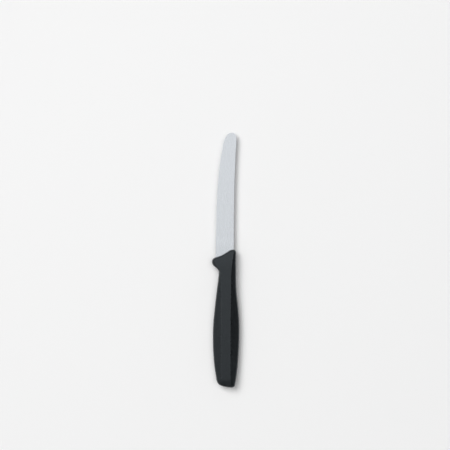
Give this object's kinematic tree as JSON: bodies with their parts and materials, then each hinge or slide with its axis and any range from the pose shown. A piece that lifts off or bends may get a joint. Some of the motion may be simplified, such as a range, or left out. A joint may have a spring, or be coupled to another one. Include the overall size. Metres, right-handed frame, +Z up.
{
  "type": "table knife",
  "caption": "Round-tipped table knife: finely toothed steel blade, its tang moulded into a dark grey plastic handle with a flat on each side, a finger guard and a slanted butt.",
  "frame": {"origin": "on the surface that the knife lies on, under the middle of its outline", "axes": "+X from the butt to the tip, +Y towards the cutting edge, +Z up out of the blade's left face"},
  "size_m": [0.2226, 0.024, 0.0116],
  "materials": {
    "blade_steel": "fine satin, ground along the blade",
    "handle_plastic": "dark grey moulded polypropylene, fine matte grain"
  },
  "bodies": {
    "root": {"blade": "blade_steel", "handle": "handle_plastic"}
  },
  "joints": []
}
